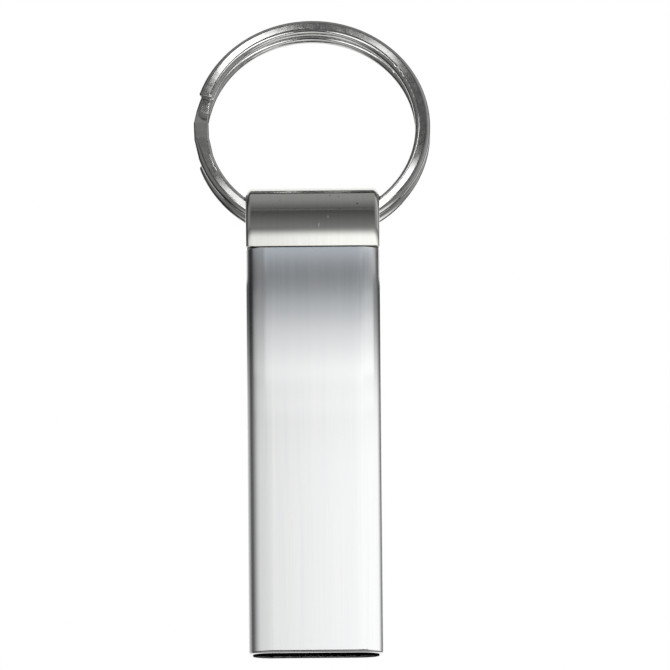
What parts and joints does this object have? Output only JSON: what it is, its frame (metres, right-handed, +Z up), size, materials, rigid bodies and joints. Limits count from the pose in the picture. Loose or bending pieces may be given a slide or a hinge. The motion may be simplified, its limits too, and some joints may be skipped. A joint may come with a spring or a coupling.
{
  "type": "usb flash drive",
  "caption": "Keyring USB flash drive: a drive hung from a split ring by a rolled steel loop, with a brushed steel sleeve that slides down off its plug.",
  "frame": {"origin": "inner top of the split ring, at the middle of its two coils, where the ring hangs", "axes": "+Z up out of the hanging drive, +X to its right seen from the front, front face towards -Y"},
  "size_m": [0.025, 0.0124, 0.0681],
  "materials": {
    "ring_steel": "nickel plated spring steel, bright",
    "strap_steel": "fine satin stainless steel",
    "sleeve_steel": "stainless steel brushed along its length",
    "end_plastic": "moulded black plastic",
    "carrier_plastic": "fine spark-textured black plastic",
    "band_rubber": "soft black rubber",
    "window_clear": "frosted clear plastic",
    "board_green": "green solder mask over copper tracks",
    "chip_black": "moulded epoxy",
    "can_steel": "plated can",
    "led_white": "moulded lens",
    "chip_tan": "fired ceramic with tinned ends",
    "chip_dark": "dark ceramic with tinned ends",
    "plug_steel": "plated plug shell",
    "tongue_white": "moulded insulator",
    "contact_gold": "gold flash over copper alloy",
    "pin_steel": "turned steel"
  },
  "bodies": {
    "ring": {"split_ring": "ring_steel"},
    "drive": {"loop_strap": "strap_steel", "loop_pin_left": "pin_steel", "loop_pin_right": "pin_steel", "carrier_front": "carrier_plastic", "carrier_back": "carrier_plastic", "grip_band": "band_rubber", "light_window": "window_clear", "circuit_board": "board_green", "flash_chip": "chip_black", "controller_chip": "chip_black", "crystal": "can_steel", "regulator": "chip_black", "status_led": "led_white", "fuse": "chip_dark", "ferrite_bead": "chip_dark", "capacitors": "chip_tan", "resistors": "chip_dark", "plug_shell": "plug_steel", "plug_tongue": "tongue_white", "contact_power": "contact_gold", "contact_data_minus": "contact_gold", "contact_data_plus": "contact_gold", "contact_ground": "contact_gold"},
    "cap": {"sleeve": "sleeve_steel", "sleeve_end_plug": "end_plastic"}
  },
  "joints": [
    {"name": "drive_swing", "type": "hinge", "parent": "ring", "child": "drive", "pos_m": [0, -0.00671, -0.02042], "axis": [1, 0, 0], "range_deg": [-184, 146]},
    {"name": "sleeve_slide", "type": "slide", "parent": "drive", "child": "cap", "axis": [0, 0, -1], "range_m": [0, 0.045]}
  ]
}
